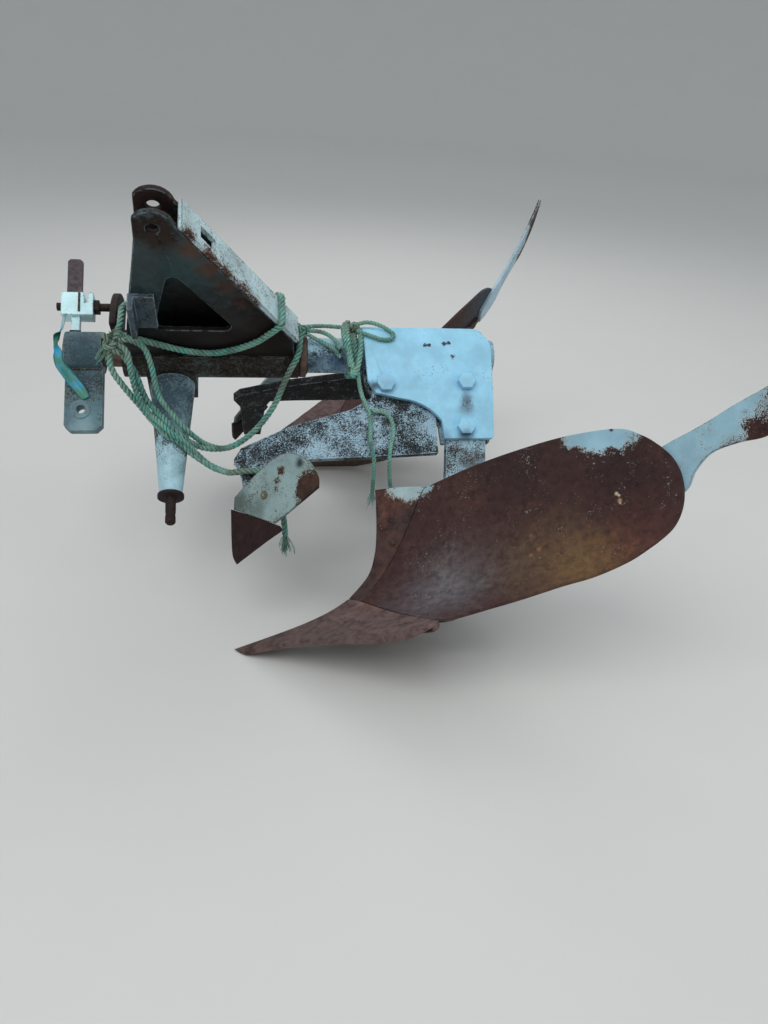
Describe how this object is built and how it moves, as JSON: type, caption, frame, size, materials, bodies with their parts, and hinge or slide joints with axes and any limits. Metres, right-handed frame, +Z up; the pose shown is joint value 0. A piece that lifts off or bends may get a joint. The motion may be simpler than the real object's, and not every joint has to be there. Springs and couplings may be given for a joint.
{
  "type": "reversible moldboard plough",
  "caption": "Single-furrow reversible moldboard plough for a three-point linkage, with a turnover headstock and mirrored left and right bodies.",
  "frame": {"origin": "centre of the bounding box at ground level, with the plough parked on both bodies", "axes": "+X rearwards along the turnover axis, +Z up, -Y towards the left-hand body"},
  "size_m": [1.3294, 1.4878, 0.8885],
  "materials": {
    "blue_paint": "weathered light blue paint, chipped to rust",
    "shaded_paint": "light blue paint under dirt and rust",
    "rusty_steel": "even brown rust",
    "worn_steel": "soil-worn steel with rust bloom",
    "green_rope": "faded blue-green laid rope"
  },
  "bodies": {
    "plough": {"turnover_shaft": "worn_steel", "beam_tube": "blue_paint", "crank_arm": "shaded_paint", "latch_block": "blue_paint", "latch_handle": "rusty_steel", "latch_plunger": "worn_steel", "headpiece_outer_near": "blue_paint", "headpiece_outer_far": "blue_paint", "headpiece_inner_near": "blue_paint", "headpiece_inner_far": "blue_paint", "headpiece_bolts_near": "blue_paint", "headpiece_bolts_far": "blue_paint", "leg_near": "shaded_paint", "leg_far": "shaded_paint", "frog_near": "shaded_paint", "frog_far": "shaded_paint", "moldboard_near": "rusty_steel", "moldboard_far": "rusty_steel", "shin_near": "rusty_steel", "shin_far": "rusty_steel", "share_near": "worn_steel", "share_far": "worn_steel", "landside_near": "worn_steel", "landside_far": "worn_steel", "tail_piece_near": "blue_paint", "tail_piece_far": "blue_paint", "tail_stay_near": "shaded_paint", "tail_stay_far": "shaded_paint", "skimmer_arm_near": "shaded_paint", "skimmer_arm_far": "shaded_paint", "skimmer_board_near": "blue_paint", "skimmer_board_far": "blue_paint", "skimmer_share_near": "rusty_steel", "skimmer_share_far": "rusty_steel", "rope_lashing": "green_rope", "rope_eye": "green_rope", "rope_tail_front": "green_rope", "rope_tail_rear": "green_rope", "rope_loop_end": "green_rope"},
    "headstock": {"mast_near": "shaded_paint", "mast_far": "shaded_paint", "mast_back": "blue_paint", "mast_pad": "shaded_paint", "bearing_housing": "shaded_paint", "link_arm_near": "blue_paint", "link_arm_far": "blue_paint", "link_pin_near": "rusty_steel", "link_pin_far": "rusty_steel", "index_sector": "rusty_steel", "rope_tie": "green_rope", "rope_loop_short": "green_rope", "rope_loop_long": "green_rope", "rope_bridge_upper": "green_rope", "rope_bridge_middle": "green_rope", "rope_bridge_lower": "green_rope", "rope_knots": "green_rope"}
  },
  "joints": [
    {"name": "turnover", "type": "hinge", "parent": "plough", "child": "headstock", "pos_m": [-0.32, 0, 0.4949], "axis": [-1, 0, 0], "range_deg": [0, 72]}
  ]
}
